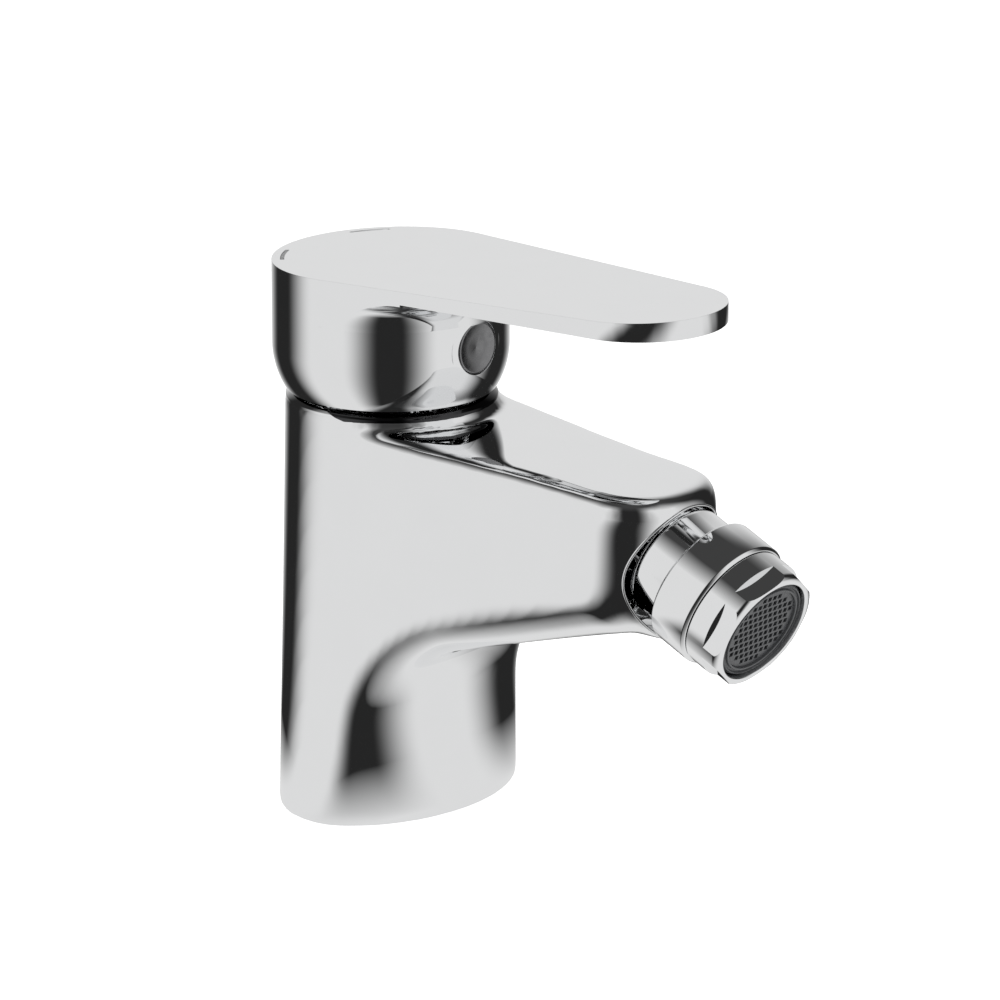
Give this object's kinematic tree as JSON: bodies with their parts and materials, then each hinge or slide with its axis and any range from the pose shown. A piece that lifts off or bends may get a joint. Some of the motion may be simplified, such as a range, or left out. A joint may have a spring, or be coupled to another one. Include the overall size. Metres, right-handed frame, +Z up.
{
  "type": "bidet mixer",
  "caption": "Single-lever deck mixer for a bidet: tapered column and spout, ball-jointed aerator, hood lever over a ceramic cartridge.",
  "frame": {"origin": "on the foot, on the axis of the cartridge", "axes": "+Z up along the column, +X towards the spout and aerator, +Y to the right of someone facing the spout"},
  "size_m": [0.1225, 0.0544, 0.1113],
  "materials": {
    "chrome": "polished",
    "brass": "machined",
    "steel": "turned",
    "rubber": "matte",
    "ceramic": "lapped ceramic",
    "white_plastic": "moulded",
    "plug_plastic": "metallised grey",
    "grey_enamel": "filled enamel",
    "grey_plastic": "moulded"
  },
  "bodies": {
    "mixer_body": {"body": "chrome", "base_seal": "rubber", "cartridge_base": "white_plastic", "inlet_seals": "rubber", "outlet_seal": "rubber", "disc_gasket": "rubber", "fixed_disc": "ceramic", "cartridge_housing": "white_plastic", "cartridge_nut": "brass", "dome_ring": "chrome", "ball_nipple": "chrome", "nipple_ring": "chrome", "nipple_seal": "rubber"},
    "rotor_unit": {"rotor": "white_plastic", "stem_pin": "steel"},
    "lever": {"stem": "brass", "handle": "chrome", "grub_screw": "steel", "screw_cover": "plug_plastic", "index_marks": "grey_enamel"},
    "disc_unit": {"moving_disc": "ceramic", "disc_carrier": "white_plastic"},
    "liner": {"ball_liner": "white_plastic"},
    "seal": {"ball_seal": "rubber"},
    "swivel": {"swivel_sleeve": "chrome", "seat_ring": "white_plastic", "aerator_washer": "rubber", "aerator_housing": "chrome", "aerator_insert": "grey_plastic", "aerator_screen": "grey_plastic", "jet_plate": "grey_plastic"}
  },
  "joints": [
    {"name": "lever_turn", "type": "hinge", "parent": "mixer_body", "child": "rotor_unit", "pos_m": [0, 0, 0.071], "axis": [0, 0, 1], "range_deg": [-50, 50]},
    {"name": "lever_lift", "type": "hinge", "parent": "rotor_unit", "child": "lever", "pos_m": [0, 0, 0.071], "axis": [0, -1, 0], "range_deg": [0, 22]},
    {"name": "disc_slide", "type": "slide", "parent": "rotor_unit", "child": "disc_unit", "axis": [1, 0, 0], "range_m": [0, 0.0033]},
    {"name": "ball_swing", "type": "hinge", "parent": "mixer_body", "child": "liner", "pos_m": [0.07745, 0, 0.06], "axis": [0, 0, 1], "range_deg": [-15, 15]},
    {"name": "ball_tilt", "type": "hinge", "parent": "liner", "child": "seal", "pos_m": [0.07745, 0, 0.06], "axis": [0, -1, 0], "range_deg": [0, 30]},
    {"name": "ball_spin", "type": "hinge", "parent": "seal", "child": "swivel", "pos_m": [0.07745, 0, 0.06], "axis": [0.9171, 0, -0.3987], "continuous": true}
  ],
  "couplings": [
    {"joint": "disc_slide", "follows": "lever_lift", "m_per_rad": 0.00807}
  ]
}
